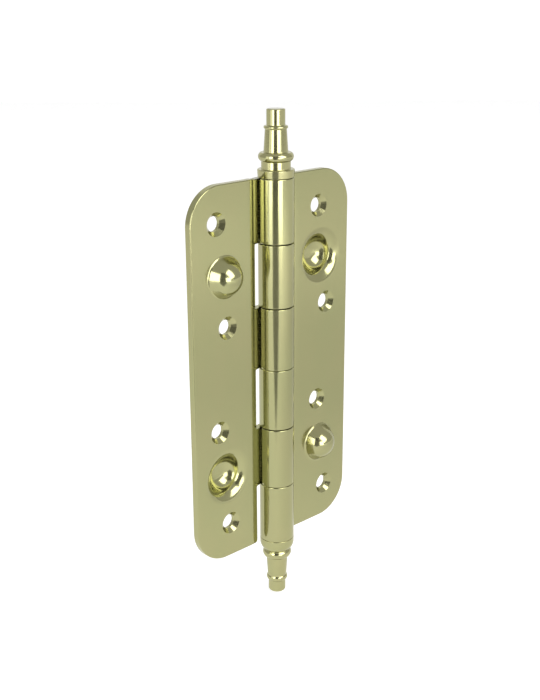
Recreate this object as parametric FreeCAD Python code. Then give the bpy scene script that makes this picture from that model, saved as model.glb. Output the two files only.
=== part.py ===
import FreeCAD, Part
import os
from math import acos, asin, cos, degrees, radians, sin, sqrt, tan

# Security hinge for a door, opened flat.
# Two identical pressed leaves, each bent gently back into a strap and curled round one pin,
# with a pressed dome and a drawn recess that lock the leaves together when the door is shut.
# Millimetres. The origin is on the pin's axis at mid-height.
# +Z runs up the pin, +X along the frame leaf, and the countersunk faces look along -Y.

# Leaves
leaf_height = 150.0
leaf_reach = 41.2
sheet = 3.0
corner_r = 14.5
root_corner_r = 1.2
edge_break = 0.4

# Pin and barrel
pin_r = 3.95
pin_clearance = 0.05
knuckle_count = 6
barrel_inset = 0.3
open_seam = 0.35
bearing_seam = 0.12
bearing_seams = (3, 5)
curl_slit = 0.8

# Strap that runs from the barrel's back to the leaf's flat sheet, and the bend between them
leaf_offset = 2.9
strap_angle = 15.0
bend_r = 14.0

# Countersunk screw holes, staggered in two columns, and the rows that they share with the bosses
row_inset = 14.3
row_pitch = 20.05
screw_inner_x = 24.3
screw_outer_x = 29.0
screw_hole_r = 2.9
countersink_r = 4.5
countersink_angle = 90.0

# Security bosses, pressed from the sheet
boss_x = 25.9
dome_r = 8.35
dome_height = 5.9
dome_fillet = 1.0
boss_clearance = 0.7
recess_depth = 6.15
recess_back_fillet = 0.5
crown_flats = 3
foot_flats = 2

# Both finials
finial_wall_clearance = 0.02
finial_bore_depth = 8.4
bead_flats = 3
ring_flats = 2

# Top finial, heights counted up from the barrel
top_gap = 0.15
top_cap_base_r = 6.9
top_cap_rim_r = 7.1
top_cap_height = 3.1
top_cap_break = 0.3
top_neck_r = 5.6
top_neck_height = 2.85
top_bead_crown_r = 6.75
top_bead_end_r = 5.85
top_bead_height = 3.3
top_body_base_r = 4.65
top_body_end_r = 4.1
top_body_height = 8.5
top_ring_r = 4.6
top_ring_height = 1.3
top_tip_r = 3.53
top_tip_height = 6.0
top_tip_break = 0.25

# Bottom finial, heights counted down from the barrel
bottom_cap_r = 7.0
bottom_cap_side = 1.9
bottom_cap_round = 4.6
bottom_groove_r = 5.2
bottom_bead_crown_r = 5.9
bottom_bead_end_r = 4.45
bottom_bead_height = 3.7
bottom_body_end_r = 3.95
bottom_body_height = 8.5
bottom_ring_r = 4.35
bottom_ring_height = 2.5
bottom_tip_r = 3.58
bottom_tip_height = 4.95
bottom_tip_round = 0.8

# Worked out from the sizes above
half_height = leaf_height / 2
barrel_top = half_height - barrel_inset
knuckle_pitch = leaf_height / knuckle_count
screw_end_z = half_height - row_inset
boss_z = screw_end_z - row_pitch
screw_mid_z = boss_z - row_pitch
bore_r = pin_r + pin_clearance
barrel_r = bore_r + sheet
curl_r = bore_r + sheet / 2
flat_back = barrel_r - leaf_offset
flat_front = flat_back - sheet
flat_middle = flat_back - sheet / 2
recess_r = dome_r + boss_clearance
flat_margin = 1.0

# The strap leaves the curl at a tangent and meets the flat sheet's line at the bend's corner
strap_turn = radians(strap_angle)
strap_start = 90 - strap_angle
bend_corner_x = (curl_r - flat_middle * cos(strap_turn)) / sin(strap_turn)
flat_x = bend_corner_x + bend_r * tan(strap_turn / 2)
bend_centre = (flat_x, flat_middle + bend_r)
bend_inner = bend_r - sheet / 2
bend_outer = bend_r + sheet / 2
bend_end = 270 - strap_angle
bend_middle = 270 - strap_angle / 2


def line(start, end):
    return Part.LineSegment(FreeCAD.Vector(*start), FreeCAD.Vector(*end)).toShape()


def arc(start, middle, end):
    points = [FreeCAD.Vector(*point) for point in (start, middle, end)]
    return Part.Arc(*points).toShape()


def flats(edge, count):
    """A curved edge of a turned or pressed profile as a few straight ones, which keeps its faces plain."""
    points = [(point.x, point.y, point.z) for point in edge.discretize(count + 1)]
    return [line(start, end) for start, end in zip(points, points[1:])]


def polar(centre, radius, angle):
    """A point in the XY plane, at an angle in degrees from +X."""
    return (centre[0] + radius * cos(radians(angle)), centre[1] + radius * sin(radians(angle)), 0)


def raised(face, low, high):
    """A face in the XY plane as a prism between two heights."""
    prism = face.extrude(FreeCAD.Vector(0, 0, high - low))
    prism.translate(FreeCAD.Vector(0, 0, low))
    return prism


def plate():
    """The flat sheet and its bend, over the leaf's whole height, with the notch's outer corner rounded."""
    back_end = polar(bend_centre, bend_inner, bend_end)
    front_end = polar(bend_centre, bend_outer, bend_end)
    edges = [
        arc(back_end, polar(bend_centre, bend_inner, bend_middle), (flat_x, flat_back, 0)),
        line((flat_x, flat_back, 0), (leaf_reach, flat_back, 0)),
        line((leaf_reach, flat_back, 0), (leaf_reach, flat_front, 0)),
        line((leaf_reach, flat_front, 0), (flat_x, flat_front, 0)),
        arc((flat_x, flat_front, 0), polar(bend_centre, bend_outer, bend_middle), front_end),
        line(front_end, back_end),
    ]
    sheet_prism = raised(Part.Face(Part.Wire(edges)), -half_height, half_height)
    corners = []
    for edge in sheet_prism.Edges:
        at_top = edge.BoundBox.ZMin > half_height - edge_break
        at_notch = edge.BoundBox.XMax < back_end[0] + edge_break
        if at_top and at_notch:
            corners.append(edge)
    return sheet_prism.makeFillet(root_corner_r, corners)


def plate_outline():
    """The leaf's outline as a prism through the sheet, with its front edge broken."""
    low = -half_height
    high = half_height
    inner = 0
    diagonal = 1 - 1 / sqrt(2)
    y = flat_front

    def corner(z, side):
        """A quarter round at an outer corner, from its level edge to its upright edge."""
        level = (leaf_reach - corner_r, y, z)
        upright = (leaf_reach, y, z + side * corner_r)
        middle = (leaf_reach - corner_r * diagonal, y, z + side * corner_r * diagonal)
        return level, middle, upright

    low_level, low_middle, low_upright = corner(low, 1)
    high_level, high_middle, high_upright = corner(high, -1)
    edges = [
        line((inner, y, low), low_level),
        arc(low_level, low_middle, low_upright),
        line(low_upright, high_upright),
        arc(high_upright, high_middle, high_level),
        line(high_level, (inner, y, high)),
        line((inner, y, high), (inner, y, low)),
    ]
    prism = Part.Face(Part.Wire(edges)).extrude(FreeCAD.Vector(0, barrel_r - flat_front, 0))
    front_edges = []
    for edge in prism.Edges:
        in_front = edge.BoundBox.YMax < flat_front + edge_break / 2
        outside = edge.BoundBox.XMax > inner + edge_break
        if in_front and outside:
            front_edges.append(edge)
    return prism.makeChamfer(edge_break, front_edges)


def knuckle(low, high):
    """One curl of the sheet round the pin, from its slit to the strap that joins it to the bend."""
    slit_angle = strap_start - degrees(acos((bore_r - curl_slit) / barrel_r))
    middle_angle = (strap_start + slit_angle) / 2 + 180
    axis = (0, 0)
    back_end = polar(bend_centre, bend_inner, bend_end)
    front_end = polar(bend_centre, bend_outer, bend_end)
    back_start = polar(axis, barrel_r, strap_start)
    front_start = polar(axis, bore_r, strap_start)
    edges = [
        arc(polar(axis, barrel_r, slit_angle), polar(axis, barrel_r, middle_angle), back_start),
        line(back_start, back_end),
        line(back_end, front_end),
        line(front_end, front_start),
        arc(front_start, polar(axis, bore_r, middle_angle), polar(axis, bore_r, slit_angle)),
        line(polar(axis, bore_r, slit_angle), polar(axis, barrel_r, slit_angle)),
    ]
    return raised(Part.Face(Part.Wire(edges)), low, high)


def knuckle_spans(first):
    """The lowest and highest point of every other knuckle, counted from the top."""
    gaps = [2 * barrel_inset]
    for seam in range(1, knuckle_count):
        gaps.append(bearing_seam if seam in bearing_seams else open_seam)
    gaps.append(2 * barrel_inset)
    spans = []
    for number in range(first, knuckle_count + 1, 2):
        top = half_height - (number - 1) * knuckle_pitch - gaps[number - 1] / 2
        bottom = half_height - number * knuckle_pitch + gaps[number] / 2
        spans.append((bottom, top))
    return spans


def pressed_boss(height, sphere_r, fillet_r):
    """Sheet pressed into a round dome of even thickness, about +Z, with its outer face's base at zero."""
    centre_h = height - sphere_r
    fillet_x = sqrt((sphere_r + fillet_r) ** 2 - (fillet_r - centre_h) ** 2)
    slope = asin(fillet_x / (sphere_r + fillet_r))
    edge_x = fillet_x + flat_margin

    def on_sphere(radius, angle):
        return (radius * sin(angle), 0, centre_h + radius * cos(angle))

    def on_fillet(radius, angle):
        return (fillet_x - radius * sin(angle), 0, fillet_r - radius * cos(angle))

    outer_r = sphere_r
    inner_r = sphere_r - sheet
    turn_r = fillet_r + sheet
    crown = arc(on_sphere(outer_r, 0), on_sphere(outer_r, slope / 2), on_sphere(outer_r, slope))
    foot = arc(on_fillet(fillet_r, slope), on_fillet(fillet_r, slope / 2), on_fillet(fillet_r, 0))
    back_foot = arc(on_fillet(turn_r, 0), on_fillet(turn_r, slope / 2), on_fillet(turn_r, slope))
    back_crown = arc(on_sphere(inner_r, slope), on_sphere(inner_r, slope / 2), on_sphere(inner_r, 0))
    edges = flats(crown, crown_flats) + flats(foot, foot_flats)
    edges.append(line((fillet_x, 0, 0), (edge_x, 0, 0)))
    edges.append(line((edge_x, 0, 0), (edge_x, 0, -sheet)))
    edges.append(line((edge_x, 0, -sheet), (fillet_x, 0, -sheet)))
    edges += flats(back_foot, foot_flats) + flats(back_crown, crown_flats)
    edges.append(line(on_sphere(inner_r, 0), on_sphere(outer_r, 0)))
    face = Part.Face(Part.Wire(edges))
    return face.revolve(FreeCAD.Vector(0, 0, 0), FreeCAD.Vector(0, 0, 1), 360), edge_x


def set_boss(leaf, boss, edge_x, face_y, toward, z):
    """Puts a pressed boss into the leaf, rising to the front (toward -1) or to the back (toward 1)."""
    boss.rotate(FreeCAD.Vector(0, 0, 0), FreeCAD.Vector(1, 0, 0), -90 * toward)
    boss.translate(FreeCAD.Vector(boss_x, face_y, z))
    start = FreeCAD.Vector(boss_x, flat_front - flat_margin, z)
    blank = Part.makeCylinder(edge_x, sheet + 2 * flat_margin, start, FreeCAD.Vector(0, 1, 0))
    return leaf.cut(blank).fuse(boss)


def screw_hole(x, z):
    """The cutter of one countersunk hole, entered from the front."""
    slope = tan(radians(countersink_angle / 2))
    mouth_r = countersink_r + flat_margin * slope
    depth = (mouth_r - screw_hole_r) / slope
    start = FreeCAD.Vector(x, flat_front - flat_margin, z)
    along = FreeCAD.Vector(0, 1, 0)
    sink = Part.makeCone(mouth_r, screw_hole_r, depth, start, along)
    shank = Part.makeCylinder(screw_hole_r, sheet + 2 * flat_margin, start, along)
    return sink.fuse(shank)


def leaf(spans):
    """One pressed leaf, lying along +X, with its knuckles at the given spans."""
    pressing = plate().common(plate_outline())
    for low, high in spans:
        pressing = pressing.fuse(knuckle(low, high))
    dome_sphere_r = (dome_r ** 2 + dome_height ** 2) / (2 * dome_height)
    bowl_sphere_r = (recess_r ** 2 + recess_depth ** 2) / (2 * recess_depth)
    dome, dome_edge = pressed_boss(dome_height, dome_sphere_r, dome_fillet)
    recess, recess_edge = pressed_boss(recess_depth, bowl_sphere_r + sheet, recess_back_fillet)
    pressing = set_boss(pressing, dome, dome_edge, flat_front, -1, -boss_z)
    pressing = set_boss(pressing, recess, recess_edge, flat_back, 1, boss_z)
    holes = [
        (screw_inner_x, screw_end_z),
        (screw_outer_x, screw_mid_z),
        (screw_inner_x, -screw_mid_z),
        (screw_outer_x, -screw_end_z),
    ]
    for x, z in holes:
        pressing = pressing.cut(screw_hole(x, z))
    return pressing.removeSplitter().Solids[0]


def frame_leaf():
    return leaf(knuckle_spans(2))


def door_leaf():
    """The same pressing, turned over end for end, so that it takes the knuckles in between."""
    spans = [(-high, -low) for low, high in knuckle_spans(1)]
    pressing = leaf(spans)
    pressing.rotate(FreeCAD.Vector(0, 0, 0), FreeCAD.Vector(0, 1, 0), 180)
    return pressing


def hinge_pin():
    low = -barrel_top - finial_bore_depth
    high = barrel_top + top_gap + finial_bore_depth
    pin = Part.makeCylinder(pin_r, high - low, FreeCAD.Vector(0, 0, low))
    return pin


def bead(start_r, crown_r, end_r, low, high, count):
    """The outside of a turned bead between two levels, bulging to its crown half-way."""
    return flats(arc((start_r, 0, low), (crown_r, 0, (low + high) / 2), (end_r, 0, high)), count)


def turned(edges):
    """A turned piece from the outside edges of its profile, bored for the pin from its base."""
    start = edges[0].Vertexes[0].Point
    end = edges[-1].Vertexes[-1].Point
    closing = [
        line((end.x, 0, end.z), (0, 0, end.z)),
        line((0, 0, end.z), (0, 0, start.z)),
        line((0, 0, start.z), (start.x, 0, start.z)),
    ]
    face = Part.Face(Part.Wire(edges + closing))
    body = face.revolve(FreeCAD.Vector(0, 0, 0), FreeCAD.Vector(0, 0, 1), 360)
    bore = Part.makeCylinder(pin_r + finial_wall_clearance, finial_bore_depth)
    return body.cut(bore)


def top_finial():
    neck_h = top_cap_height
    bead_h = neck_h + top_neck_height
    body_h = bead_h + top_bead_height
    ring_h = body_h + top_body_height
    tip_h = ring_h + top_ring_height
    end_h = tip_h + top_tip_height
    cap = [
        line((top_cap_base_r, 0, 0), (top_cap_rim_r, 0, neck_h - top_cap_break)),
        line((top_cap_rim_r, 0, neck_h - top_cap_break), (top_cap_rim_r - top_cap_break, 0, neck_h)),
        line((top_cap_rim_r - top_cap_break, 0, neck_h), (top_neck_r, 0, neck_h)),
        line((top_neck_r, 0, neck_h), (top_neck_r, 0, bead_h)),
    ]
    body = [
        line((top_bead_end_r, 0, body_h), (top_body_base_r, 0, body_h)),
        line((top_body_base_r, 0, body_h), (top_body_end_r, 0, ring_h)),
    ]
    tip = [
        line((top_body_end_r, 0, tip_h), (top_tip_r, 0, tip_h)),
        line((top_tip_r, 0, tip_h), (top_tip_r, 0, end_h - top_tip_break)),
        line((top_tip_r, 0, end_h - top_tip_break), (top_tip_r - top_tip_break, 0, end_h)),
    ]
    crown = bead(top_neck_r, top_bead_crown_r, top_bead_end_r, bead_h, body_h, bead_flats)
    ring = bead(top_body_end_r, top_ring_r, top_body_end_r, ring_h, tip_h, ring_flats)
    finial = turned(cap + crown + body + ring + tip)
    finial.translate(FreeCAD.Vector(0, 0, barrel_top + top_gap))
    return finial


def bottom_finial():
    round_x = bottom_cap_r - bottom_cap_round
    round_end = acos((bottom_groove_r - round_x) / bottom_cap_round)

    def on_round(angle):
        return (round_x + bottom_cap_round * cos(angle), 0, bottom_cap_side + bottom_cap_round * sin(angle))

    bead_h = on_round(round_end)[2]
    body_h = bead_h + bottom_bead_height
    ring_h = body_h + bottom_body_height
    tip_h = ring_h + bottom_ring_height
    end_h = tip_h + bottom_tip_height
    pull = bottom_tip_round * (1 - 1 / sqrt(2))
    tip_side = (bottom_tip_r, 0, end_h - bottom_tip_round)
    tip_end = (bottom_tip_r - bottom_tip_round, 0, end_h)
    cap_side = [line((bottom_cap_r, 0, 0), on_round(0))]
    cap_round = flats(arc(on_round(0), on_round(round_end / 2), on_round(round_end)), bead_flats)
    crown = bead(bottom_groove_r, bottom_bead_crown_r, bottom_bead_end_r, bead_h, body_h, bead_flats)
    body = [line((bottom_bead_end_r, 0, body_h), (bottom_body_end_r, 0, ring_h))]
    ring = bead(bottom_body_end_r, bottom_ring_r, bottom_tip_r, ring_h, tip_h, ring_flats)
    tip = [line((bottom_tip_r, 0, tip_h), tip_side)]
    tip += flats(arc(tip_side, (bottom_tip_r - pull, 0, end_h - pull), tip_end), ring_flats)
    finial = turned(cap_side + cap_round + crown + body + ring + tip)
    finial.rotate(FreeCAD.Vector(0, 0, 0), FreeCAD.Vector(1, 0, 0), 180)
    finial.translate(FreeCAD.Vector(0, 0, -barrel_top))
    return finial


def main():
    os.makedirs("parts", exist_ok=True)
    for make in (frame_leaf, door_leaf, hinge_pin, top_finial, bottom_finial):
        shape = make()
        shape.exportStep("parts/" + make.__name__ + ".step")
        print(make.__name__, "valid", shape.isValid(), "solids", len(shape.Solids), "volume", round(shape.Volume, 1))


main()
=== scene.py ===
from math import acos, ceil, cos, hypot, pi, radians, sin, tan

import bpy
from bpy.props import FloatProperty, FloatVectorProperty, IntProperty, PointerProperty, StringProperty
from mathutils import Matrix, Vector
from mathutils.geometry import delaunay_2d_cdt


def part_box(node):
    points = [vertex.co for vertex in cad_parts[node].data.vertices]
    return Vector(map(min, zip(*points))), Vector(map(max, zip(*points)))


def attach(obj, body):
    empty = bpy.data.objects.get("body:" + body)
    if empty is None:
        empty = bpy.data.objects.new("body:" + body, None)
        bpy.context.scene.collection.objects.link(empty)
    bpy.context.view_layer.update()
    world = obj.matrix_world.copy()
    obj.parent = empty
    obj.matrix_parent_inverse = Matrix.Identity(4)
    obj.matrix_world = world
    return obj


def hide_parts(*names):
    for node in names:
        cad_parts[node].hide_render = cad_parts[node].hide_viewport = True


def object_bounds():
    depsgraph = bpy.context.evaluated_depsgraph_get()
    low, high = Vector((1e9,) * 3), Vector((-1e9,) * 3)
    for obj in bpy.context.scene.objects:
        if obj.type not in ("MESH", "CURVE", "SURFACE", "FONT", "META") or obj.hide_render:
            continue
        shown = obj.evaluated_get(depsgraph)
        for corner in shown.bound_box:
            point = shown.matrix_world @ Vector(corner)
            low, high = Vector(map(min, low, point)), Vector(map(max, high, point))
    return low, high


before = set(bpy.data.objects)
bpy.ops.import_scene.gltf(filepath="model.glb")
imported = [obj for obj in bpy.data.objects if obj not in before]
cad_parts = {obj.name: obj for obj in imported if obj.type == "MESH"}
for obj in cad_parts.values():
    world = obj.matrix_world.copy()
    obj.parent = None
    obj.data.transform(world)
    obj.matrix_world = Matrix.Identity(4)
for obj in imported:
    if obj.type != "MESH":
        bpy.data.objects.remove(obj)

bl_info = {
    "name": "Security hinge",
    "version": (1, 0, 0),
    "blender": (4, 5, 0),
    "location": "View3D > Sidebar > Hinge",
    "description": "Dresses a pressed security hinge: brassed leaves, turned finials, steel pin and studio",
    "category": "Object",
}

CAD_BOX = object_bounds()
LEAF_LOW, LEAF_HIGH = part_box("frame_leaf")
TOP_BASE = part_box("top_finial")[0].z
BOTTOM_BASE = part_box("bottom_finial")[1].z
MM = 0.001


# Sizes and finishes a user would change

def length(name, description, default):
    """A size in metres that a user can change."""
    return FloatProperty(name=name, description=description, default=default, unit="LENGTH", precision=6)


class HingeSizes(bpy.types.PropertyGroup):
    """Sizes of the pressed leaves and their barrel."""
    reach: length("Leaf reach", "From the pin's axis to the leaf's outer edge", LEAF_HIGH.x)
    height: length("Leaf height", "Height of both leaves", LEAF_HIGH.z - LEAF_LOW.z)
    sheet: length("Sheet", "Thickness of the pressed sheet", 3.0 * MM)
    bore: length("Bore radius", "Inside radius of the curled knuckles", 4.0 * MM)
    corner: length("Corner radius", "Round of the leaf's outer corners", 14.5 * MM)
    root_corner: length("Root corner radius", "Small round where a leaf's end meets its notch", 1.2 * MM)
    offset: length("Leaf offset", "How far the leaf's back lies in front of the barrel's back", 2.9 * MM)
    strap_angle: FloatProperty(
        name="Strap angle", description="Slope of the strap that runs back from the leaf to the barrel",
        default=radians(15), subtype="ANGLE")
    bend: length("Bend radius", "Radius of the bend between the leaf and its straps", 14.0 * MM)
    slit: length("Curl slit", "Gap between the curl's end and its own strap", 0.45 * MM)
    inset: length("Barrel inset", "How far the end knuckles stop short of the leaf's ends", 0.3 * MM)
    open_seam: length("Open seam", "Gap between knuckles that don't carry the door", 0.35 * MM)
    bearing_seam: length("Bearing seam", "Gap between knuckles that carry the door", 0.12 * MM)
    front_round: length("Front edge round", "Round of the sheet's front edges", 0.4 * MM)
    back_round: length(
        "Back edge round", "Round of the sheet's back edges, and of the knuckles' rims", 0.3 * MM)


class HingeBosses(bpy.types.PropertyGroup):
    """Sizes of the screw holes and of the pressed security bosses."""
    screw_inner: length("Inner screws", "Distance of the inner screw holes from the axis", 24.3 * MM)
    screw_outer: length("Outer screws", "Distance of the outer screw holes from the axis", 29.0 * MM)
    screw_mid: length("Middle screws", "Height of the middle screw holes above mid-height", 20.6 * MM)
    screw_end: length("End screws", "Height of the end screw holes above mid-height", 60.7 * MM)
    screw_r: length("Screw hole radius", "Radius of the screw's through hole", 2.9 * MM)
    sink_r: length("Countersink radius", "Radius of the countersink's mouth", 4.5 * MM)
    boss_x: length("Boss distance", "Distance of the security bosses from the axis", 25.4 * MM)
    boss_z: length("Boss height", "Height of the security bosses above mid-height", 40.3 * MM)
    dome_crown: length("Dome crown", "Radius that the dome's crown is rounded to", 7.2 * MM)
    dome_flank: FloatProperty(
        name="Dome flank", description="Slope of the dome's straight flank",
        default=radians(61), subtype="ANGLE")
    dome_height: length("Dome height", "How far the dome stands out of the leaf", 6.8 * MM)
    dome_fillet: length("Dome fillet", "Round at the dome's foot", 1.2 * MM)
    recess_r: length("Recess radius", "Radius that the back of the recess is drawn to", 9.05 * MM)
    recess_depth: length("Recess depth", "How far the back of the recess stands out", 6.15 * MM)
    recess_fillet: length("Recess back fillet", "Round at the foot of the recess's back", 0.5 * MM)
    well_depth: length("Well depth", "Depth of the recess from the leaf's face", 7.0 * MM)
    well_lip: length("Well lip", "Round of the recess's mouth", 5.0 * MM)
    well_flank: FloatProperty(
        name="Well flank", description="Slope of the recess's steep wall",
        default=radians(66), subtype="ANGLE")
    well_corner: length("Well corner", "Round between the recess's wall and its floor", 6.0 * MM)
    well_floor: length("Well floor", "Radius of the recess's flat floor", 1.5 * MM)


class FinialSizes(bpy.types.PropertyGroup):
    """How finely the finials are turned and how their corners are eased."""
    segments: IntProperty(
        name="Segments", description="Number of facets round each finial", default=144, min=12)
    bore: length("Bore radius", "Radius of the blind bore that takes the pin", 3.97 * MM)
    bore_depth: length("Bore depth", "Depth of the blind bore", 8.4 * MM)
    easing: length("Corner easing", "Round left on the turned corners", 0.2 * MM)


class HingeFinish(bpy.types.PropertyGroup):
    """Colours and polish of the metals."""
    plate: StringProperty(
        name="Plating", description="Colour of the leaves' brass plating, as an sRGB hex value",
        default="AFAC7F")
    plate_second: StringProperty(
        name="Plating, second tone", description="Its slightly greener tone, as an sRGB hex value",
        default="ABAB7D")
    turned: StringProperty(
        name="Turned brass", description="Colour of the finials, as an sRGB hex value", default="B4B082")
    turned_second: StringProperty(
        name="Turned brass, second tone", description="Its slightly greener tone, as an sRGB hex value",
        default="AEAD7E")
    steel: StringProperty(
        name="Steel", description="Colour of the ground steel pin, as an sRGB hex value", default="B8B8B4")
    steel_second: StringProperty(
        name="Steel, second tone", description="Its slightly darker tone, as an sRGB hex value",
        default="ADADAB")
    polish: FloatProperty(
        name="Polish", description="Roughness of the leaves' plating", default=0.15, min=0.0, max=1.0)
    turned_polish: FloatProperty(
        name="Finials' polish", description="Roughness of the turned finials", default=0.13, min=0.0, max=1.0)


class StudioSettings(bpy.types.PropertyGroup):
    """The camera's place and the studio's light levels."""
    eye: FloatVectorProperty(
        name="Camera", description="The camera's place",
        default=(-0.279144, -0.290735, 0.140180), subtype="TRANSLATION", precision=6)
    forward: FloatVectorProperty(
        name="Looking along", description="The direction that the camera looks in",
        default=(0.65309, 0.68883, -0.31461), subtype="DIRECTION", precision=6)
    upward: FloatVectorProperty(
        name="Camera's up", description="The direction that is up in the picture",
        default=(0.21988, 0.22506, 0.94921), subtype="DIRECTION", precision=6)
    lens: FloatProperty(
        name="Lens", description="Focal length on a 36 mm wide sensor, in millimetres", default=55.44)
    floor_drop: length("Floor drop", "Gap between the lower finial's tip and the floor", 2.0 * MM)
    world_level: FloatProperty(
        name="World level", description="Brightness of the room around the studio", default=0.60)
    side_level: FloatProperty(
        name="Side softbox", description="How bright the left softbox's face looks", default=4.0)
    side_spill: FloatProperty(
        name="Side softbox's spill", description="How bright the wall behind the left softbox looks",
        default=1.0)
    front_level: FloatProperty(
        name="Front softboxes", description="How bright the two front softboxes' faces look", default=4.0)
    floor_lift: FloatProperty(
        name="Floor seen directly", description="Glow that lifts the floor to white in the picture",
        default=0.64)
    backdrop_lift: FloatProperty(
        name="Backdrop seen directly", description="Glow that lifts the backdrop to white in the picture",
        default=0.9)
    mirror_lift: FloatProperty(
        name="Paper seen in metal", description="Glow of the paper in the metal's reflections", default=0.47)
    # Painted shade: the share of the floor's glow, as metal sees it, that is darkened near the hinge
    painted_floor_shade: FloatProperty(
        name="Dip in the floor's glow", description="Share of that glow that the floor near the hinge loses",
        default=0.74, min=0.0, max=1.0)


# Helpers

def linear(text):
    """The linear colour of an sRGB hex value, with alpha."""
    def channel(value):
        return value / 12.92 if value <= 0.04045 else ((value + 0.055) / 1.055) ** 2.4
    return [channel(int(text[k:k + 2], 16) / 255) for k in (0, 2, 4)] + [1.0]


def add_node(tree, kind, inputs=None, **settings):
    """Adds a node with its settings, and sets or links its inputs."""
    node = tree.nodes.new(kind)
    for name, value in settings.items():
        setattr(node, name, value)
    for key, value in (inputs or {}).items():
        if isinstance(value, bpy.types.NodeSocket):
            tree.links.new(value, node.inputs[key])
        else:
            node.inputs[key].default_value = value
    return node


def maths(tree, operation, *values):
    """The result of a math node on values or sockets."""
    return add_node(tree, "ShaderNodeMath", dict(enumerate(values)), operation=operation).outputs[0]


def new_material(name):
    """A new material, its empty node tree and its Object coordinates."""
    material = bpy.data.materials.new(name)
    material.use_nodes = True
    tree = material.node_tree
    tree.nodes.clear()
    return material, tree, add_node(tree, "ShaderNodeTexCoord").outputs["Object"]


def link_object(name, data):
    """A new object, linked to the scene."""
    made = bpy.data.objects.new(name, data)
    bpy.context.scene.collection.objects.link(made)
    return made


def link_piece(name, mesh, material, body, slot, *nodes):
    """A finished piece: its material, its body and the nodes that it stands for. The slot argument is not
    used.
    """
    piece = link_object(name, mesh)
    mesh.materials.clear()
    mesh.materials.append(material)
    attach(piece, body)
    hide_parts(*nodes)


# Materials

def metal_grain(tree, place, stretch, size, detail=3.0):
    """Noise on Object coordinates, stretched by an (x, y, z) factor, with its grain's size in metres."""
    mapping = add_node(tree, "ShaderNodeMapping", {"Vector": place, "Scale": stretch})
    return add_node(
        tree, "ShaderNodeTexNoise",
        {"Vector": mapping.outputs[0], "Scale": 1 / size, "Detail": detail, "Roughness": 0.55}).outputs["Fac"]


def remap(tree, value, low, high, new_low, new_high):
    """Maps a range of a pattern's values onto a new range."""
    return add_node(
        tree, "ShaderNodeMapRange",
        {"Value": value, "From Min": low, "From Max": high, "To Min": new_low, "To Max": new_high}).outputs[0]


def metal(tree, base, roughness, height, depth):
    """A bare metal from its colour and roughness sockets and a bump's height socket and depth in metres."""
    bump = add_node(tree, "ShaderNodeBump", {"Height": height, "Strength": 1.0, "Distance": depth})
    shader = add_node(
        tree, "ShaderNodeBsdfPrincipled",
        {"Base Color": base, "Metallic": 1.0, "Roughness": roughness, "Normal": bump.outputs[0]})
    add_node(tree, "ShaderNodeOutputMaterial", {"Surface": shader.outputs[0]})


def two_tones(tree, place, colour, second, size, stretch=(1, 1, 1)):
    """Two near colours of one metal, mixed by soft clouds."""
    clouds = metal_grain(tree, place, stretch, size)
    share = remap(tree, clouds, 0.3, 0.7, 0.0, 1.0)
    return add_node(
        tree, "ShaderNodeMix", {"Factor": share, "A": linear(colour), "B": linear(second)},
        data_type="RGBA").outputs["Result"]


def worn(tree, lines, polish):
    """Roughness round a given polish, a little rougher along the polishing lines."""
    return remap(tree, lines, 0.35, 0.65, polish - 0.02, polish + 0.03)


def satin_plate(name, colour, second, polish):
    """Brass plate on pressed steel: pale green-gold, softly mirrored, with faint mop lines up the leaf."""
    material, tree, place = new_material(name)
    base = two_tones(tree, place, colour, second, size=18 * MM, stretch=(1, 1, 0.6))
    lines = metal_grain(tree, place, stretch=(1, 1, 0.03), size=0.35 * MM)
    skin = metal_grain(tree, place, stretch=(1, 1, 1), size=1.3 * MM, detail=2.0)
    line_share = 0.12
    height = maths(tree, "MULTIPLY_ADD", lines, line_share, skin)
    metal(tree, base, worn(tree, lines, polish), height, depth=0.0018 * MM)
    return material


def turned_brass(name, colour, second, polish):
    """Turned and plated brass: brighter than the leaves, with the tool's fine rings round the axis."""
    material, tree, place = new_material(name)
    base = two_tones(tree, place, colour, second, size=9 * MM)
    rings = metal_grain(tree, place, stretch=(0.02, 0.02, 1), size=0.16 * MM)
    metal(tree, base, worn(tree, rings, polish), rings, depth=0.0008 * MM)
    return material


def ground_steel(name, colour, second):
    """The pin's ground steel: neutral grey, with the wheel's fine rings round it."""
    material, tree, place = new_material(name)
    base = two_tones(tree, place, colour, second, size=7 * MM)
    rings = metal_grain(tree, place, stretch=(0.02, 0.02, 1), size=0.12 * MM)
    smoothest, roughest = 0.2, 0.32
    metal(tree, base, remap(tree, rings, 0.3, 0.7, smoothest, roughest), rings, depth=0.001 * MM)
    return material


# The pressed leaf

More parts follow.
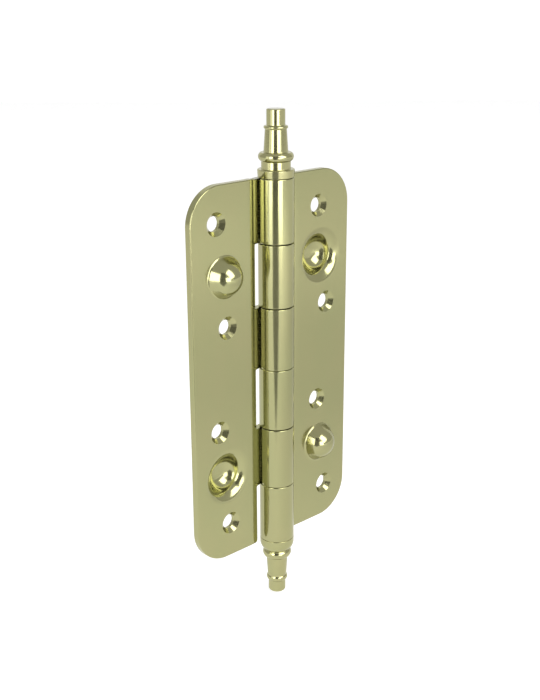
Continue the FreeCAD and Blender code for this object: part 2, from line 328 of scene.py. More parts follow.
class Sheet:
    """A bent sheet's mesh, built from points at (along, z, depth) with the true normal at every corner.

    along runs out from the axis on the sheet's middle, and depth goes from the front face to the back.
    Corners closer than WELD share a point.
    """
    WELD = 0.0001 * MM

    def __init__(self, sizes):
        self.sizes = sizes
        self.half = sizes.sheet / 2
        self.barrel = sizes.bore + sizes.sheet
        self.mid_r = sizes.bore + self.half
        self.flat_y = self.barrel - sizes.offset - self.half
        self.turn = sizes.strap_angle
        corner = (self.mid_r - self.flat_y * cos(self.turn)) / sin(self.turn)
        self.flat = corner + sizes.bend * tan(self.turn / 2)
        self.root = self.flat - sizes.bend * self.turn
        self.bend_end = Vector((self.flat - sizes.bend * sin(self.turn),
                                self.flat_y + sizes.bend * (1 - cos(self.turn))))
        self.strap = (self.bend_end - Vector((sin(self.turn), cos(self.turn))) * self.mid_r).length
        self.strap_end = self.root - self.strap
        self.curl_turn = 2 * pi - acos((sizes.bore - sizes.slit) / self.barrel)
        self.end = self.strap_end - self.mid_r * self.curl_turn
        self.points = []
        self.index = {}
        self.faces = []
        self.normals = []

    def section(self, along):
        """The middle of the sheet and its back-facing normal, as (x, y, normal x, normal y)."""
        if along >= self.flat:
            return along, self.flat_y, 0.0, 1.0
        if along >= self.root:
            bend = self.sizes.bend
            turn = (self.flat - along) / bend
            return self.flat - bend * sin(turn), self.flat_y + bend * (1 - cos(turn)), sin(turn), cos(turn)
        if along >= self.strap_end:
            run = self.root - along
            x, y = self.bend_end + Vector((-cos(self.turn), sin(self.turn))) * run
            return x, y, sin(self.turn), cos(self.turn)
        turn = pi / 2 - self.turn + (self.strap_end - along) / self.mid_r
        return self.mid_r * cos(turn), self.mid_r * sin(turn), cos(turn), sin(turn)

    def place(self, corner):
        along, z, depth = corner
        x, y, nx, ny = self.section(along)
        return Vector((x + nx * (depth - self.half), y + ny * (depth - self.half), z))

    def aim(self, along, normal):
        """A normal given along the sheet, up and through it, turned into the part's frame."""
        x, y, nx, ny = self.section(along)
        out, up, through = normal
        return Vector((out * ny + through * nx, -out * nx + through * ny, up)).normalized()

    def face(self, corners, normals):
        """Adds a face, turned so that it looks the way its normals do."""
        places = [self.place(corner) for corner in corners]
        aims = [self.aim(corner[0], normal) for corner, normal in zip(corners, normals)]
        keys = []
        kept = []
        for number, place in enumerate(places):
            key = tuple(round(value / self.WELD) for value in place)
            if key not in self.index:
                self.index[key] = len(self.points)
                self.points.append(place)
            if self.index[key] not in keys:
                keys.append(self.index[key])
                kept.append(number)
        if len(keys) < 3:
            return
        arms = [places[number] - places[kept[0]] for number in kept[1:]]
        cross = Vector((0, 0, 0))
        for first, second in zip(arms, arms[1:]):
            cross += first.cross(second)
        aims = [aims[number] for number in kept]
        if cross.dot(sum(aims, Vector((0, 0, 0)))) < 0:
            keys.reverse()
            aims.reverse()
        self.faces.append(keys)
        self.normals.extend(aims)

    def band(self, first, second):
        """Joins two closed loops of (corner, normal) with faces."""
        count = len(first)
        for number in range(count):
            after = (number + 1) % count
            ring = [first[number], first[after], second[after], second[number]]
            self.face([corner for corner, _ in ring], [normal for _, normal in ring])

    def fill(self, outer, holes, depth, stations):
        """Fills one face of the sheet between its outline and its round holes."""
        coords = [Vector((along, z)) for along, z in outer]
        edges = [(k, (k + 1) % len(outer)) for k in range(len(outer))]
        for hole in holes:
            start = len(coords)
            coords.extend(Vector(point) for point in hole["ring"])
            count = len(hole["ring"])
            edges.extend((start + k, start + (k + 1) % count) for k in range(count))
        for station in stations:
            across = sorted(
                (coords[k].y, k) for k in range(len(outer)) if abs(coords[k].x - station) < 1e-8)
            for low, high in zip(across[::2], across[1::2]):
                edges.append((low[1], high[1]))
        made, _, triangles, _, _, _ = delaunay_2d_cdt(coords, edges, [], 1, 1e-9)
        normal = (0, 0, -1 if depth == 0 else 1)
        for triangle in triangles:
            centre = sum((made[k] for k in triangle), Vector((0, 0))) / 3
            if not inside(centre, outer):
                continue
            if any(hypot(centre.x - hole["x"], centre.y - hole["z"]) < hole["r"] for hole in holes):
                continue
            self.face([(made[k].x, made[k].y, depth) for k in triangle], [normal] * 3)

    def mesh(self, name, turned_over):
        """The finished mesh, turned end for end about Y for the door leaf."""
        mesh = bpy.data.meshes.new(name)
        turn = Matrix.Rotation(pi, 3, "Y") if turned_over else Matrix.Identity(3)
        mesh.from_pydata([turn @ point for point in self.points], [], self.faces)
        mesh.polygons.foreach_set("use_smooth", [True] * len(mesh.polygons))
        mesh.normals_split_custom_set([turn @ normal for normal in self.normals])
        mesh.update()
        return mesh


def inside(point, loop):
    """True if a point lies inside a closed loop."""
    hit = False
    for k, (x0, y0) in enumerate(loop):
        x1, y1 = loop[k - 1]
        if (y0 > point.y) != (y1 > point.y) and point.x < (x1 - x0) * (point.y - y0) / (y1 - y0) + x0:
            hit = not hit
    return hit


def knuckle_spans(sizes, first):
    """The lowest and highest point of every other knuckle, counted from the top."""
    count = 6
    bearing = (3, 5)
    pitch = sizes.height / count
    seams = [sizes.bearing_seam if k in bearing else sizes.open_seam for k in range(1, count)]
    gaps = [2 * sizes.inset] + seams + [2 * sizes.inset]
    spans = []
    for number in range(first, count + 1, 2):
        top = sizes.height / 2 - (number - 1) * pitch - gaps[number - 1] / 2
        bottom = sizes.height / 2 - number * pitch + gaps[number] / 2
        spans.append((bottom, top))
    return spans


def leaf_outline(sheet, spans, stations):
    """The sheet's outline before bending, as (along, z, outward along, outward z) round the loop."""
    sizes = sheet.sizes
    low, high = -sizes.height / 2, sizes.height / 2
    tab_corner = 0.5 * MM
    notch_corner = 0.35 * MM
    corners = [
        (sizes.reach, low, sizes.corner, 1),
        (sizes.reach, high, sizes.corner, 1),
        (sheet.root, high, sizes.root_corner, 1),
    ]
    for bottom, top in spans:
        corners.append((sheet.root, top, notch_corner, -1))
        corners.append((sheet.end, top, tab_corner, 1))
        corners.append((sheet.end, bottom, tab_corner, 1))
        if bottom > low + MM:
            corners.append((sheet.root, bottom, notch_corner, -1))
    # The last knuckle ends a little above the leaf's own end, and its edge runs down to it
    slope_steps = 2
    for step in range(slope_steps + 1):
        corners.append((stations[step], bottom + (low - bottom) * step / slope_steps, 0.0, 1))
    end_gap = 0.05 * MM
    loop = []
    count = len(corners)
    for k, (along, z, radius, bulge) in enumerate(corners):
        before = Vector(corners[k - 1][:2])
        here = Vector((along, z))
        after = Vector(corners[(k + 1) % count][:2])
        into = (here - before).normalized()
        away = (after - here).normalized()
        centre = here - into * radius + away * radius
        out_in = Vector((into.y, -into.x))
        out_away = Vector((away.y, -away.x))
        if radius == 0:
            out = (out_in + out_away).normalized()
            loop.append((along, z, out.x, out.y))
        else:
            steps = max(4, ceil(radius / MM * 2))
            for step in range(steps + 1):
                angle = step / steps * pi / 2
                out = out_in * cos(angle) + out_away * sin(angle)
                point = centre + out * radius * bulge
                loop.append((point.x, point.y, out.x, out.y))
        # Stations along the edges that run out from the barrel
        if abs(away.y) < 0.01:
            next_radius = corners[(k + 1) % count][2]
            start = here + away * radius
            stop = after - away * next_radius
            inner, outer = sorted((start.x, stop.x))
            on_edge = [station for station in stations if inner + end_gap < station < outer - end_gap]
            for station in sorted(on_edge, reverse=away.x < 0):
                loop.append((station, z, out_away.x, out_away.y))
    return loop


def circle(x, z, radius, count):
    """Points round a circle on the flat sheet."""
    turns = [2 * pi * k / count for k in range(count)]
    return [(x + radius * cos(turn), z + radius * sin(turn)) for turn in turns]


def add_edge(sheet, outline):
    """The sheet's edge: the front round, the side wall and the back round."""
    sizes = sheet.sizes
    steps = 5

    def loop(inset, depth, lean, side):
        return [
            ((a - oa * inset, z - oz * inset, depth), (oa * lean, oz * lean, side))
            for a, z, oa, oz in outline]

    loops = []
    for step in range(steps + 1):
        angle = step / steps * pi / 2
        inset = sizes.front_round * (1 - sin(angle))
        loops.append(loop(inset, sizes.front_round * (1 - cos(angle)), sin(angle), -cos(angle)))
    for step in range(steps + 1):
        angle = pi / 2 - step / steps * pi / 2
        inset = sizes.back_round * (1 - sin(angle))
        loops.append(loop(inset, sizes.sheet - sizes.back_round * (1 - cos(angle)), sin(angle), cos(angle)))
    for first, second in zip(loops, loops[1:]):
        sheet.band(first, second)


def add_screw_hole(sheet, bosses, x, z, count):
    """A countersunk hole: its cone from the front, then the plain hole to the back."""
    depth = bosses.sink_r - bosses.screw_r
    rings = []
    for radius, level, side in (
        (bosses.sink_r, 0.0, -1), (bosses.screw_r, depth, -1),
        (bosses.screw_r, depth, 0), (bosses.screw_r, sheet.sizes.sheet, 0),
    ):
        ring = []
        for px, pz in circle(x, z, radius, count):
            inward = Vector((x - px, z - pz)).normalized()
            ring.append(((px, pz, level), (inward.x, inward.y, side)))
        rings.append(ring)
    sheet.band(rings[0], rings[1])
    sheet.band(rings[2], rings[3])


def pressed_form(height, crown, lip, slope, flat=0.0):
    """A boss's face: radii of its flat top, crown and lip, its flank's slope and length, and its foot."""
    flank = (height - (crown + lip) * (1 - cos(slope))) / sin(slope)
    foot = flat + (crown + lip) * sin(slope) + flank * cos(slope)
    return flat, crown, lip, slope, flank, foot


def add_boss_face(sheet, x, z, form, start, rise, facing, count):
    """One face of a boss. It leaves the sheet at depth start, and rises by rise times its own height.

    rise is -1 for a dome and 1 for a recess, and facing is -1 for the sheet's front and 1 for its back.
    """
    flat, crown, lip, slope, flank, foot = form
    height = (crown + lip) * (1 - cos(slope)) + flank * sin(slope)
    hollow = rise * facing
    lip_steps = 14
    crown_steps = 26
    rings = []
    for step in range(lip_steps + 1):
        angle = slope * step / lip_steps
        rings.append((foot - lip * sin(angle), lip * (1 - cos(angle)), angle))
    for step in range(crown_steps + 1):
        angle = slope * (1 - step / crown_steps)
        rings.append((flat + crown * sin(angle), height - crown * (1 - cos(angle)), angle))
    if flat > 0:
        rings.append((0.0, height, 0.0))
    loops = []
    for radius, level, angle in rings:
        loop = []
        lean = hollow * sin(angle)
        for k, (px, pz) in enumerate(circle(x, z, radius, count)):
            turn = 2 * pi * k / count
            normal = (lean * cos(turn), lean * sin(turn), facing * cos(angle))
            loop.append(((px, pz, start + rise * level), normal))
        loops.append(loop)
    for first, second in zip(loops, loops[1:]):
        sheet.band(first, second)


def leaf_mesh(name, sizes, bosses, spans, turned_over):
    """One pressed leaf as a closed mesh with true normals."""
    sheet = Sheet(sizes)
    bend_steps = 14
    curl_steps = 110
    stations = [sheet.root + (sheet.flat - sheet.root) * k / bend_steps for k in range(bend_steps + 1)]
    stations += [sheet.strap_end - (sheet.strap_end - sheet.end) * k / curl_steps for k in range(curl_steps)]
    outline = leaf_outline(sheet, spans, stations)
    add_edge(sheet, outline)

    hole_count = 72
    boss_count = 112
    front_holes = []
    back_holes = []

    def cut(holes, x, z, radius, count):
        holes.append({"x": x, "z": z, "r": radius, "ring": circle(x, z, radius, count)})

    for x, z in (
        (bosses.screw_inner, bosses.screw_end), (bosses.screw_outer, bosses.screw_mid),
        (bosses.screw_inner, -bosses.screw_mid), (bosses.screw_outer, -bosses.screw_end),
    ):
        add_screw_hole(sheet, bosses, x, z, hole_count)
        cut(front_holes, x, z, bosses.sink_r, hole_count)
        cut(back_holes, x, z, bosses.screw_r, hole_count)
    dome, hollow = (
        pressed_form(
            bosses.dome_height, bosses.dome_crown - inset, bosses.dome_fillet + inset, bosses.dome_flank)
        for inset in (0.0, sizes.sheet))
    well = pressed_form(
        bosses.well_depth, bosses.well_corner, bosses.well_lip, bosses.well_flank, bosses.well_floor)
    back_sphere = (bosses.recess_r ** 2 + bosses.recess_depth ** 2) / (2 * bosses.recess_depth) + sizes.sheet
    steepest = acos(1 - bosses.recess_depth / (back_sphere + bosses.recess_fillet))
    back = pressed_form(bosses.recess_depth, back_sphere, bosses.recess_fillet, steepest)
    for z, front_form, back_form, rise in (
        (-bosses.boss_z, dome, hollow, -1), (bosses.boss_z, well, back, 1),
    ):
        add_boss_face(sheet, bosses.boss_x, z, front_form, 0.0, rise, -1, boss_count)
        add_boss_face(sheet, bosses.boss_x, z, back_form, sizes.sheet, rise, 1, boss_count)
        cut(front_holes, bosses.boss_x, z, front_form[-1], boss_count)
        cut(back_holes, bosses.boss_x, z, back_form[-1], boss_count)

    front = [(a - oa * sizes.front_round, z - oz * sizes.front_round) for a, z, oa, oz in outline]
    back = [(a - oa * sizes.back_round, z - oz * sizes.back_round) for a, z, oa, oz in outline]
    sheet.fill(front, front_holes, 0.0, stations)
    sheet.fill(back, back_holes, sizes.sheet, stations)
    return sheet.mesh(name, turned_over)


class HINGE_OT_leaves(bpy.types.Operator):
    """Makes both pressed leaves with their curled knuckles, bosses and countersunk holes"""
    bl_idname = "hinge.leaves"
    bl_label = "Pressed leaves"

    def execute(self, context):
        scene = context.scene
        sizes = scene.hinge_sizes
        finish = scene.hinge_finish
        plate = satin_plate("satin_brass_plate", finish.plate, finish.plate_second, finish.polish)
        turned_spans = [(-high, -low) for low, high in reversed(knuckle_spans(sizes, 1))]
        for name, spans, turned_over, body, node in (
            ("right_leaf", knuckle_spans(sizes, 2), False, "frame", "frame_leaf"),
            ("left_leaf", turned_spans, True, "door", "door_leaf"),
        ):
            mesh = leaf_mesh(name, sizes, scene.hinge_bosses, spans, turned_over)
            link_piece(name, mesh, plate, body, "brassed_leaf", node)
        return {"FINISHED"}


# The turned finials

def arc_points(start, middle, end, steps):
    """Points (radius, height) on the arc through three points, without its first."""
    (x1, y1), (x2, y2), (x3, y3) = start, middle, end
    twice = 2 * (x1 * (y2 - y3) + x2 * (y3 - y1) + x3 * (y1 - y2))
    s1, s2, s3 = x1 * x1 + y1 * y1, x2 * x2 + y2 * y2, x3 * x3 + y3 * y3
    centre = Vector((s1 * (y2 - y3) + s2 * (y3 - y1) + s3 * (y1 - y2),
                     s1 * (x3 - x2) + s2 * (x1 - x3) + s3 * (x2 - x1))) / twice
    first = Vector(start) - centre
    turn = first.angle_signed(Vector(end) - centre)
    points = []
    for step in range(1, steps + 1):
        angle = -turn * step / steps
        points.append((centre.x + first.x * cos(angle) - first.y * sin(angle),
                       centre.y + first.x * sin(angle) + first.y * cos(angle)))
    return points


def eased(path, easing):
    """A profile (radius, height) with its sharp corners rounded, and a point near each long edge's ends."""
    hold = easing * 0.6
    gentle = radians(16)
    arc_step = radians(15)
    soft = []
    for number, here in enumerate(path):
        here = Vector(here)
        if number in (0, len(path) - 1):
            soft.append(here)
            continue
        before, after = Vector(path[number - 1]), Vector(path[number + 1])
        into, away = here - before, after - here
        turn = abs(into.angle_signed(away))
        if turn < gentle:
            soft.append(here)
            continue
        room = min(easing * tan(turn / 2), into.length / 2, away.length / 2)
        start, end = here - into.normalized() * room, here + away.normalized() * room
        steps = max(2, ceil(turn / arc_step))
        for step in range(steps + 1):
            share = step / steps
            soft.append(start.lerp(here, share).lerp(here.lerp(end, share), share))
    points = [soft[0]]
    for start, end in zip(soft, soft[1:]):
        run = end - start
        if run.length > 4 * hold:
            points.append(start + run.normalized() * hold)
            points.append(end - run.normalized() * hold)
        points.append(end)
    return points


def lathe_tree():
    """Geometry Nodes that turn a profile's points round the axis into a closed piece."""
    tree = bpy.data.node_groups.new("turned_on_lathe", "GeometryNodeTree")
    tree.is_modifier = True
    for name, kind in (
        ("Profile", "NodeSocketGeometry"), ("Segments", "NodeSocketInt"), ("Weld", "NodeSocketFloat"),
        ("Crease", "NodeSocketFloat"), ("Material", "NodeSocketMaterial"),
    ):
        tree.interface.new_socket(name, in_out="INPUT", socket_type=kind)
    tree.interface.new_socket("Piece", in_out="OUTPUT", socket_type="NodeSocketGeometry")
    given = add_node(tree, "NodeGroupInput").outputs
    count = add_node(
        tree, "GeometryNodeAttributeDomainSize", {"Geometry": given["Profile"]}, component="MESH").outputs[0]
    columns = maths(tree, "ADD", given["Segments"], 1.0)
    grid = add_node(
        tree, "GeometryNodeMeshGrid", {"Vertices X": columns, "Vertices Y": count}).outputs["Mesh"]
    number = add_node(tree, "GeometryNodeInputIndex").outputs[0]
    row = maths(tree, "MODULO", number, count)
    column = maths(tree, "FLOOR", maths(tree, "DIVIDE", number, count))
    share = maths(tree, "DIVIDE", column, given["Segments"])
    angle = maths(tree, "MULTIPLY", share, 2 * pi)
    place = add_node(tree, "GeometryNodeInputPosition").outputs[0]
    picked = add_node(
        tree, "GeometryNodeSampleIndex", {"Geometry": given["Profile"], "Value": place, "Index": row},
        data_type="FLOAT_VECTOR").outputs[0]
    swung = add_node(
        tree, "ShaderNodeVectorRotate", {"Vector": picked, "Angle": angle}, rotation_type="Z_AXIS").outputs[0]
    turned = add_node(tree, "GeometryNodeSetPosition", {"Geometry": grid, "Position": swung}).outputs[0]
    welded = add_node(
        tree, "GeometryNodeMergeByDistance", {"Geometry": turned, "Distance": given["Weld"]}).outputs[0]
    bend = add_node(tree, "GeometryNodeInputMeshEdgeAngle").outputs["Unsigned Angle"]
    gentle = add_node(
        tree, "FunctionNodeCompare", {"A": bend, "B": given["Crease"]}, data_type="FLOAT",
        operation="LESS_THAN").outputs[0]
    smooth = add_node(
        tree, "GeometryNodeSetShadeSmooth", {"Geometry": welded, "Shade Smooth": True},
        domain="FACE").outputs[0]
    creased = add_node(
        tree, "GeometryNodeSetShadeSmooth", {"Geometry": smooth, "Shade Smooth": gentle},
        domain="EDGE").outputs[0]
    real = add_node(tree, "GeometryNodeRealizeInstances", {"Geometry": creased}).outputs[0]
    done = add_node(
        tree, "GeometryNodeSetMaterial", {"Geometry": real, "Material": given["Material"]}).outputs[0]
    add_node(tree, "NodeGroupOutput", {"Piece": done})
    return tree


def run_tree(name, mesh, tree, **inputs):
    """Runs a Geometry Nodes tree on a mesh and gives back the finished mesh."""
    maker = link_object(name + "_maker", mesh)
    modifier = maker.modifiers.new("tree", "NODES")
    modifier.node_group = tree
    for socket in tree.interface.items_tree:
        if socket.in_out == "INPUT" and socket.name in inputs:
            modifier[socket.identifier] = inputs[socket.name]
    graph = bpy.context.evaluated_depsgraph_get()
    made = bpy.data.meshes.new_from_object(maker.evaluated_get(graph))
    made.name = name
    maker.modifiers.clear()
    bpy.data.objects.remove(maker)
    return made


def turned_mesh(name, path, finials, tree, material):
    """A finial from the outside of its profile, given as (radius, height) from its base to its tip."""
    base, tip = path[0][1], path[-1][1]
    end = base + (finials.bore_depth if tip > base else -finials.bore_depth)
    whole = [(0.0, end), (finials.bore, end), (finials.bore, base), *path, (0.0, tip)]
    points = eased(whole, finials.easing)
    weld = 0.002 * MM
    crease = radians(24)
    mesh = bpy.data.meshes.new(name + "_profile")
    mesh.from_pydata([(point.x, 0.0, point.y) for point in points], [], [])
    made = run_tree(
        name, mesh, tree, Segments=finials.segments, Weld=weld, Crease=crease, Material=material)
    if tip > base:
        made.flip_normals()
    return made


def top_path(base):
    """The top finial's outside. Its radii, and its heights from the base, are in millimetres."""
    cap_r, rim_r, neck_r, tip_r = 6.9, 7.1, 5.6, 3.53
    rim_break, tip_break = 0.3, 0.25
    bead_crown_r, bead_end_r = 6.75, 5.85
    body_r, body_end_r, ring_crown_r = 4.65, 4.1, 4.6
    neck, bead, body, ring, tip, end = 3.1, 5.95, 9.25, 17.75, 19.05, 25.05
    points = [(cap_r, 0.0), (rim_r, neck - rim_break), (rim_r - rim_break, neck)]
    points += [(neck_r, neck), (neck_r, bead)]
    points += arc_points((neck_r, bead), (bead_crown_r, (bead + body) / 2), (bead_end_r, body), steps=12)
    points += [(body_r, body), (body_end_r, ring)]
    points += arc_points((body_end_r, ring), (ring_crown_r, (ring + tip) / 2), (body_end_r, tip), steps=8)
    points += [(tip_r, tip), (tip_r, end - tip_break), (tip_r - tip_break, end)]
    return [(radius * MM, base + height * MM) for radius, height in points]


def bottom_path(base):
    """The bottom finial's outside. Its radii, and its heights down from the base, are in millimetres."""
    side_r, flare_r, groove_r, bead_crown_r = 7.0, 6.53, 5.2, 5.9
    body_r, body_end_r, ring_crown_r, tip_r = 4.45, 3.95, 4.35, 3.58
    end_round = 0.8
    side, flare, groove, body, ring, tip, end = 1.9, 3.937, 5.55, 9.25, 17.75, 20.25, 25.2
    points = [(side_r, 0.0), (side_r, side)]
    points += arc_points((side_r, side), (flare_r, flare), (groove_r, groove), steps=12)
    points += arc_points((groove_r, groove), (bead_crown_r, (groove + body) / 2), (body_r, body), steps=12)
    points += [(body_end_r, ring)]
    points += arc_points((body_end_r, ring), (ring_crown_r, (ring + tip) / 2), (tip_r, tip), steps=10)
    centre = Vector((tip_r - end_round, end - end_round))
    start, halfway, stop = (
        centre + end_round * Vector((cos(turn), sin(turn))) for turn in (0, pi / 4, pi / 2))
    points += [start, *arc_points(start, halfway, stop, steps=6)]
    return [(radius * MM, base - height * MM) for radius, height in points]


class HINGE_OT_finials(bpy.types.Operator):
    """Turns both finials from their profiles"""
    bl_idname = "hinge.finials"
    bl_label = "Finials"

    def execute(self, context):
        scene = context.scene
        finish = scene.hinge_finish
        brass = turned_brass("turned_brass", finish.turned, finish.turned_second, finish.turned_polish)
        tree = lathe_tree()
        for name, node, path in (
            ("upper_finial", "top_finial", top_path(TOP_BASE)),
            ("lower_finial", "bottom_finial", bottom_path(BOTTOM_BASE)),
        ):
            mesh = turned_mesh(name, path, scene.hinge_finials, tree, brass)
            link_piece(name, mesh, brass, "frame", "turned_brass", node)
        return {"FINISHED"}


class HINGE_OT_pin(bpy.types.Operator):
    """Dresses the steel pin inside the barrel"""
    bl_idname = "hinge.pin"
    bl_label = "Pin"

    def execute(self, context):
        finish = context.scene.hinge_finish
        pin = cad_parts["hinge_pin"]
        pin.data.materials.clear()
        pin.data.materials.append(ground_steel("ground_steel", finish.steel, finish.steel_second))
        return {"FINISHED"}


# Studio, with its places in metres and its azimuths in degrees, as the function around takes them

PAPER_ALBEDO = 0.7
FLOOR_REACH = 3.0
BACKDROP_DISTANCE = 2.2
BACKDROP_HEIGHT = 2.5
# The grey card behind the camera, and the mat before it as (distance, azimuth) corners. The mat is painted
# shadow, a grey sheet on the floor where the shade under the camera falls. The barrel mirrors them as its
# dark line
CARD_AND_SHADOW_ALBEDO = 0.25
CARD_DISTANCE = 0.85
CARD_SIDES = (-64, -30)
CARD_TOP = 0.75
PAINTED_SHADOW_CORNERS = ((0.20, -50), (0.20, -46), (0.44, -28), (0.84, -28), (0.84, -66), (0.44, -66))
PAINTED_SHADOW_MAT_LIFT = 0.5 * MM
# The painted shade in the floor's glow that metal sees, as (distance from the axis, share of the shade). It
# is full round the azimuth that the leaves mirror to the camera, and weak on the left. The cosines are of the
# angle from that azimuth where it is weak and where it is full
PAINTED_SHADE_RING = ((0.06, 0.32), (0.15, 0.68), (0.24, 0.97), (0.40, 1.0), (0.60, 0.44), (1.0, 0.0))
PAINTED_SHADE_AZIMUTH = 44
PAINTED_SHADE_LEFT = 0.2
PAINTED_SHADE_COSINES = (0.0, 0.8)
SOFTBOX_DISTANCE = 0.8
SENSOR_WIDTH_MM = 36


def stage_panel(name, corners, material):
    """A flat panel of the studio, given by its corners."""
    mesh = bpy.data.meshes.new(name)
    mesh.from_pydata(corners, [], [tuple(range(len(corners)))])
    panel = link_object(name, mesh)
    mesh.materials.append(material)


def finish_paper(tree, colour, glow):
    """Diffuse paper with a glow of its own added."""
    paper = add_node(tree, "ShaderNodeBsdfDiffuse", {"Color": colour})
    light = add_node(tree, "ShaderNodeEmission", {"Strength": glow})
    both = add_node(tree, "ShaderNodeAddShader", {0: paper.outputs[0], 1: light.outputs[0]})
    add_node(tree, "ShaderNodeOutputMaterial", {"Surface": both.outputs[0]})


def camera_glow(tree, camera_lift):
    """A glow that only the camera sees, which lifts what it looks at to white."""
    seen = add_node(tree, "ShaderNodeLightPath").outputs["Is Camera Ray"]
    return maths(tree, "MULTIPLY", seen, camera_lift)


def white_paper(name, camera_lift, mirror_lift, painted_shade_share=0.0):
    """White paper. The camera sees it lifted to white but for the shadow, and metal sees it as pale too.

    The glow that metal sees dips by a share in a ring round the hinge: painted shade on the floor in the
    metal's reflections.
    """
    material, tree, place = new_material(name)
    level = add_node(tree, "ShaderNodeMapping", {"Vector": place, "Scale": (1, 1, 0)}).outputs[0]
    reach = add_node(tree, "ShaderNodeVectorMath", {0: level}, operation="LENGTH").outputs["Value"]
    # Painted shade: the glow that metal sees is darkened in a ring round the hinge, most where the leaves
    # mirror it
    ring = add_node(tree, "ShaderNodeValToRGB", {"Fac": reach})
    stops = ring.color_ramp.elements
    stops.remove(stops[1])
    for number, (distance, share) in enumerate(PAINTED_SHADE_RING):
        stop = stops.new(distance) if number else stops[0]
        stop.position = distance
        stop.color = (share, share, share, 1)
    ahead = add_node(
        tree, "ShaderNodeVectorMath", {0: level, 1: around(PAINTED_SHADE_AZIMUTH, 0, 1)},
        operation="DOT_PRODUCT").outputs["Value"]
    side = maths(tree, "DIVIDE", ahead, reach)
    strength = remap(tree, side, *PAINTED_SHADE_COSINES, PAINTED_SHADE_LEFT * painted_shade_share * mirror_lift, painted_shade_share * mirror_lift)
    painted_shade_loss = maths(tree, "MULTIPLY", ring.outputs["Color"], strength)
    glow = maths(tree, "SUBTRACT", mirror_lift, painted_shade_loss)
    path = add_node(tree, "ShaderNodeLightPath").outputs
    mirrored = maths(tree, "MAXIMUM", path["Is Glossy Ray"], path["Is Transmission Ray"])
    lift = maths(tree, "MULTIPLY_ADD", mirrored, glow, camera_glow(tree, camera_lift))
    finish_paper(tree, (PAPER_ALBEDO, PAPER_ALBEDO, PAPER_ALBEDO, 1), lift)
    return material


def grey_card_and_painted_shadow(name, camera_lift):
    """Grey card: what the metal sees behind the camera between the softboxes, and the mat's painted shadow on
    the floor under the camera. The camera sees it as white.
    """
    material, tree, place = new_material(name)
    fibres = metal_grain(tree, place, stretch=(1, 1, 1), size=4 * MM)
    mottle = 0.05
    tone = remap(tree, fibres, 0.3, 0.7, CARD_AND_SHADOW_ALBEDO * (1 - mottle), CARD_AND_SHADOW_ALBEDO * (1 + mottle))
    finish_paper(tree, tone, camera_glow(tree, camera_lift))
    return material


def area_light(name, place, width, height, level, lean=0.0):
    """A softbox facing the hinge, leaned over to its right, with a face level times as bright as white."""
    data = bpy.data.lights.new(name, "AREA")
    data.shape = "RECTANGLE"
    data.size = width
    data.size_y = height
    data.energy = level * width * height * pi
    lamp = link_object(name, data)
    lamp.location = place
    facing = (-place).to_track_quat("-Z", "Y").to_matrix()
    lamp.rotation_euler = (facing @ Matrix.Rotation(lean, 3, "Z")).to_euler()


def around(azimuth, elevation, distance):
    """A place seen from the hinge: azimuth 0 is in front of the leaves and positive to the right."""
    a, e = radians(azimuth), radians(elevation)
    return Vector((sin(a) * cos(e), -cos(a) * cos(e), sin(e))) * distance


def make_papers(studio, level):
    """The white floor and backdrop, the grey card, and the mat of painted shadow on the floor, that the
    barrel mirrors.
    """
    floor = white_paper("floor_paper", studio.floor_lift, studio.mirror_lift, studio.painted_floor_shade)
    wall = white_paper("backdrop_paper", studio.backdrop_lift, studio.mirror_lift)
    corners = ((-1, -1), (1, -1), (1, 1), (-1, 1))
    stage_panel("floor", [(x * FLOOR_REACH, y * FLOOR_REACH, level) for x, y in corners], floor)
    ahead = Vector(studio.forward).xy.normalized().to_3d()
    across = Vector((ahead.y, -ahead.x, 0)) * FLOOR_REACH
    foot = ahead * BACKDROP_DISTANCE + Vector((0, 0, level))
    up = Vector((0, 0, BACKDROP_HEIGHT))
    stage_panel("backdrop", [foot - across, foot + across, foot + across + up, foot - across + up], wall)
    card = grey_card_and_painted_shadow("grey_card_and_painted_shadow", studio.backdrop_lift)
    left, right = (around(azimuth, 0, CARD_DISTANCE).xy for azimuth in CARD_SIDES)
    stage_panel(
        "card_behind_camera",
        [(*left, level), (*right, level), (*right, CARD_TOP), (*left, CARD_TOP)], card)
    # The mat is painted shadow: a grey sheet on the floor where the shade under the camera falls, which the
    # camera sees as white
    mat = [around(azimuth, 0, distance).xy.to_3d() for distance, azimuth in PAINTED_SHADOW_CORNERS]
    stage_panel("painted_shadow_mat", [point + Vector((0, 0, level + PAINTED_SHADOW_MAT_LIFT)) for point in mat], card)


def make_softboxes(studio, level):
    """Three upright lights that stand on the floor, and a softbox that hangs above in front."""
    for name, azimuth, width, top, glow in (
        ("side_softbox", -76, 0.30, 0.50, studio.side_level),
        ("side_spill", -101, 0.28, 0.50, studio.side_spill),
        ("front_softbox", -16, 0.38, 0.20, studio.front_level),
    ):
        middle = around(azimuth, 0, SOFTBOX_DISTANCE) + Vector((0, 0, (level + top) / 2))
        area_light(name, middle, width, top - level, glow)
    area_light(
        "upper_softbox", around(azimuth=3, elevation=30, distance=0.84), width=0.46, height=0.72,
        level=studio.front_level, lean=radians(28))


def make_room(scene, studio):
    """The room's light all round. The camera sees it as white."""
    world = bpy.data.worlds.new("studio_room")
    scene.world = world
    world.use_nodes = True
    tree = world.node_tree
    tree.nodes.clear()
    seen = add_node(tree, "ShaderNodeLightPath").outputs["Is Camera Ray"]
    tone = add_node(tree, "ShaderNodeMapRange", {"Value": seen, "To Min": studio.world_level, "To Max": 1.0})
    room = add_node(tree, "ShaderNodeBackground", {"Color": (1, 1, 1, 1), "Strength": tone.outputs[0]})
    add_node(tree, "ShaderNodeOutputWorld", {"Surface": room.outputs[0]})


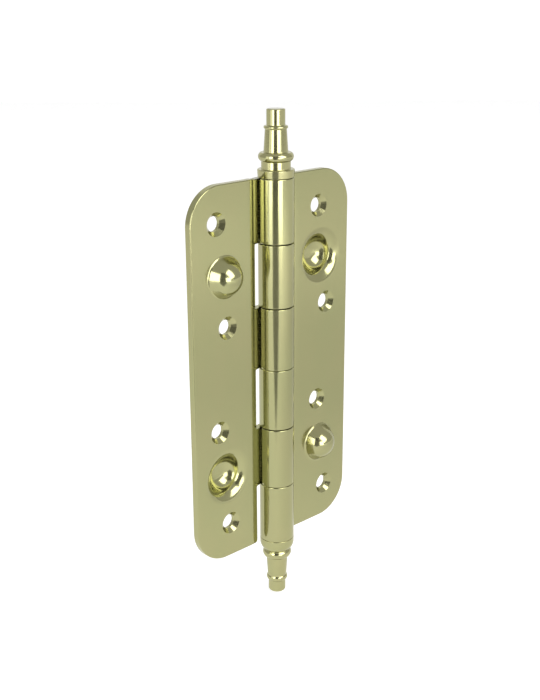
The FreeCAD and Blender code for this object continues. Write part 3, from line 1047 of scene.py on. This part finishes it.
def make_camera(scene, studio):
    """The camera at its place, looking along forward."""
    data = bpy.data.cameras.new("camera")
    data.sensor_width = SENSOR_WIDTH_MM
    data.lens = studio.lens
    data.clip_start = 10 * MM
    camera = link_object("camera", data)
    back = -Vector(studio.forward).normalized()
    right = Vector(studio.upward).cross(back).normalized()
    up = back.cross(right)
    turn = Matrix((right, up, back)).transposed()
    camera.matrix_world = Matrix.Translation(studio.eye) @ turn.to_4x4()
    scene.camera = camera


class HINGE_OT_studio(bpy.types.Operator):
    """Makes the floor, the softboxes, the room's light and the camera"""
    bl_idname = "hinge.studio"
    bl_label = "Studio"

    def execute(self, context):
        scene = context.scene
        studio = scene.hinge_studio
        level = CAD_BOX[0].z - studio.floor_drop
        make_papers(studio, level)
        make_softboxes(studio, level)
        make_room(scene, studio)
        make_camera(scene, studio)
        scene.view_settings.view_transform = "Standard"
        return {"FINISHED"}


class HINGE_PT_panel(bpy.types.Panel):
    """Lists the hinge's sizes and the operators that make its pieces"""
    bl_idname = "HINGE_PT_panel"
    bl_label = "Security hinge"
    bl_space_type = "VIEW_3D"
    bl_region_type = "UI"
    bl_category = "Hinge"

    def draw(self, context):
        scene = context.scene
        for group in (getattr(scene, key) for key in GROUPS):
            box = self.layout.box()
            for name in group.__annotations__:
                box.prop(group, name)
        for operator in (HINGE_OT_leaves, HINGE_OT_finials, HINGE_OT_pin, HINGE_OT_studio):
            self.layout.operator(operator.bl_idname)


GROUPS = {
    "hinge_sizes": HingeSizes,
    "hinge_bosses": HingeBosses,
    "hinge_finials": FinialSizes,
    "hinge_finish": HingeFinish,
    "hinge_studio": StudioSettings,
}
CLASSES = (
    *GROUPS.values(), HINGE_OT_leaves, HINGE_OT_finials, HINGE_OT_pin, HINGE_OT_studio, HINGE_PT_panel)


def register():
    for cls in CLASSES:
        bpy.utils.register_class(cls)
    for name, group in GROUPS.items():
        setattr(bpy.types.Scene, name, PointerProperty(type=group))


def unregister():
    for name in GROUPS:
        delattr(bpy.types.Scene, name)
    for cls in reversed(CLASSES):
        bpy.utils.unregister_class(cls)


def main():
    register()
    bpy.ops.hinge.leaves()
    bpy.ops.hinge.finials()
    bpy.ops.hinge.pin()
    bpy.ops.hinge.studio()


if __name__ == "__main__":
    main()
